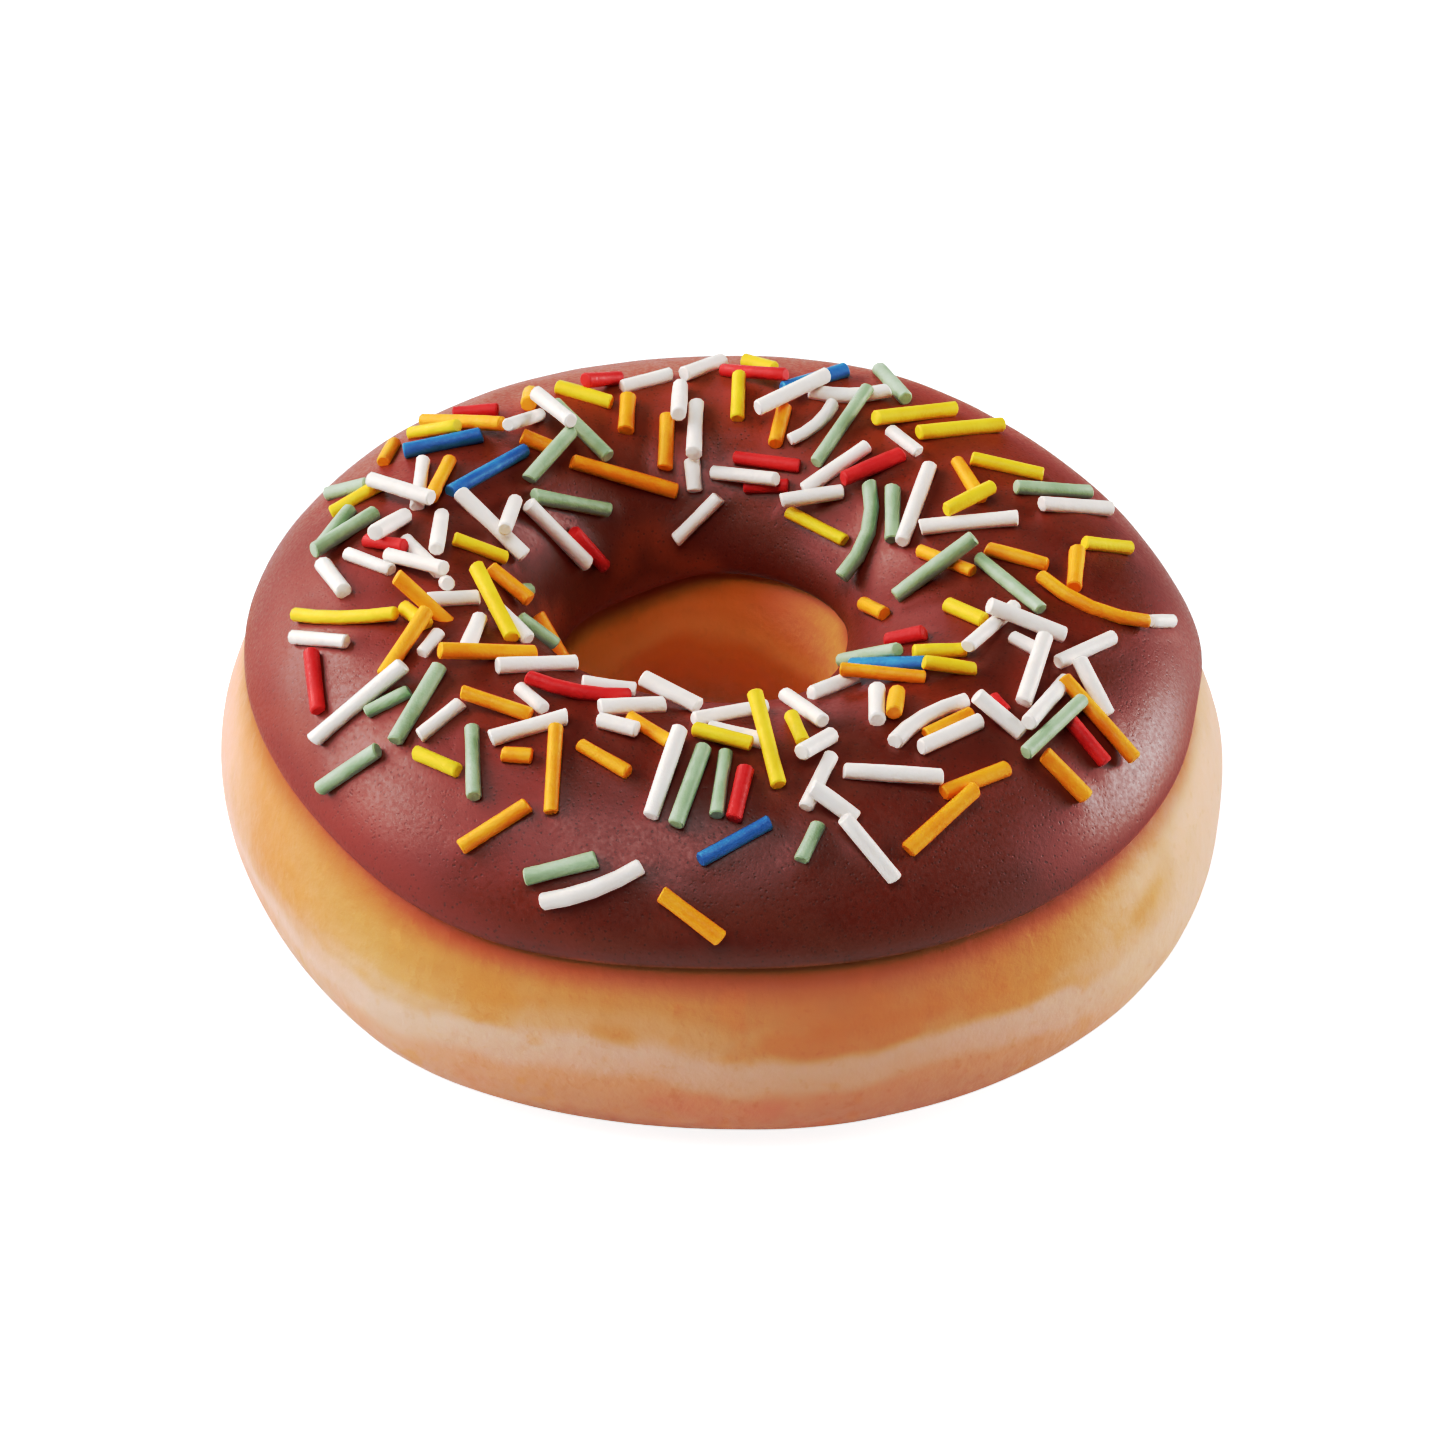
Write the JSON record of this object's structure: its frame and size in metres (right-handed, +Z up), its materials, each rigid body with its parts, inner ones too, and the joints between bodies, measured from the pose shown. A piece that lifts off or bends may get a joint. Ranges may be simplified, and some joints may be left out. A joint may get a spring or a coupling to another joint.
{
  "type": "iced ring doughnut",
  "caption": "Raised ring doughnut with an off-centre hole, a flat foot and a smooth chocolate icing cap over its upper half.",
  "frame": {"origin": "middle of the footprint of the doughnut, on the plane it stands on", "axes": "+Z up through the hole, the icing on top; -Y is the front"},
  "size_m": [0.0882, 0.0876, 0.0309],
  "materials": {
    "dough": "soft golden fried crust, matt with a faint oily sheen, paler in a belt round the middle",
    "icing": "set chocolate icing with a satin sheen"
  },
  "bodies": {
    "root": {"dough": "dough", "icing": "icing"}
  },
  "joints": []
}
